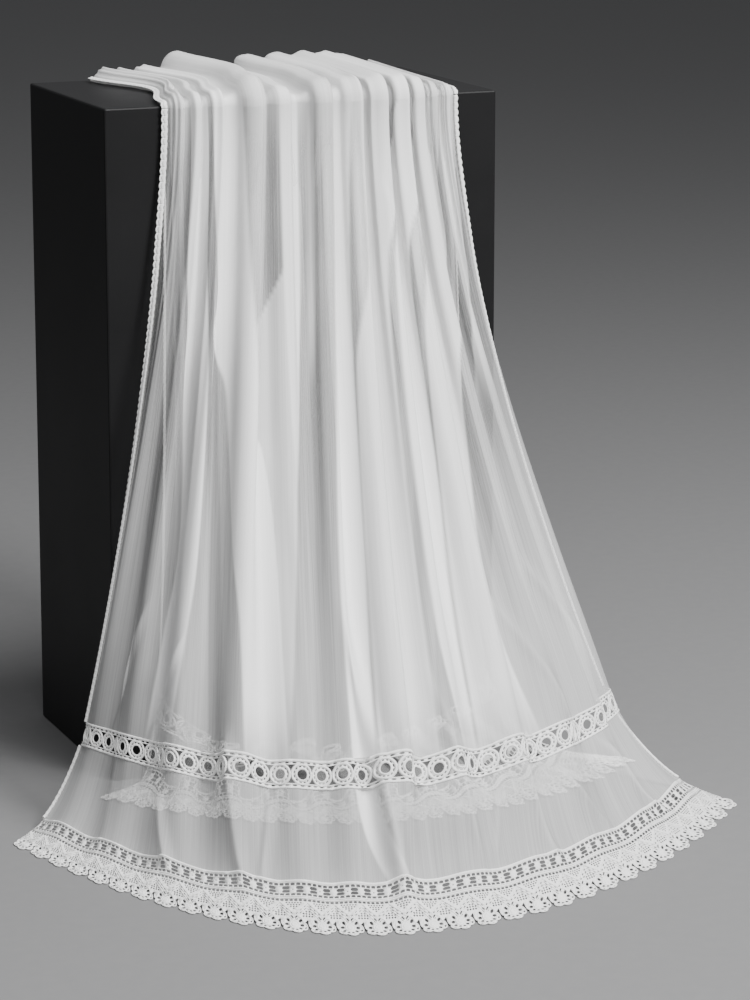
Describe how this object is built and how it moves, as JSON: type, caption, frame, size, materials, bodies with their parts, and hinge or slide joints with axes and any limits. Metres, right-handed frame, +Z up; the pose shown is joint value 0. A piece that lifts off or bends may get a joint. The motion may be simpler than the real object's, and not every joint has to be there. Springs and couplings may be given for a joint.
{
  "type": "dupatta draped over a display plinth",
  "caption": "Sheer white dupatta with ring bands and scalloped lace ends, doubled over a black box plinth and fanning out to the floor.",
  "frame": {"origin": "middle of the plinth's underside, on the floor", "axes": "+Z up, -Y towards the front where the cloth falls, +X to the right seen from the front"},
  "size_m": [0.7692, 0.8449, 0.7813],
  "materials": {
    "satin_black": "satin black lacquer",
    "chiffon": "sheer white chiffon",
    "lace": "white cotton lace"
  },
  "bodies": {
    "root": {"plinth": "satin_black", "top_stretch": "chiffon", "outer_fall": "chiffon", "outer_ring_band": "lace", "outer_panel": "chiffon", "outer_lace_edging": "lace", "inner_fall": "chiffon", "inner_ring_band": "lace", "inner_panel": "chiffon", "inner_lace_edging": "lace", "hem_top_left": "lace", "hem_top_right": "lace", "hem_outer_fall_left": "lace", "hem_outer_fall_right": "lace", "hem_outer_panel_left": "lace", "hem_outer_panel_right": "lace", "hem_inner_fall_left": "lace", "hem_inner_fall_right": "lace", "hem_inner_panel_left": "lace", "hem_inner_panel_right": "lace"}
  },
  "joints": []
}
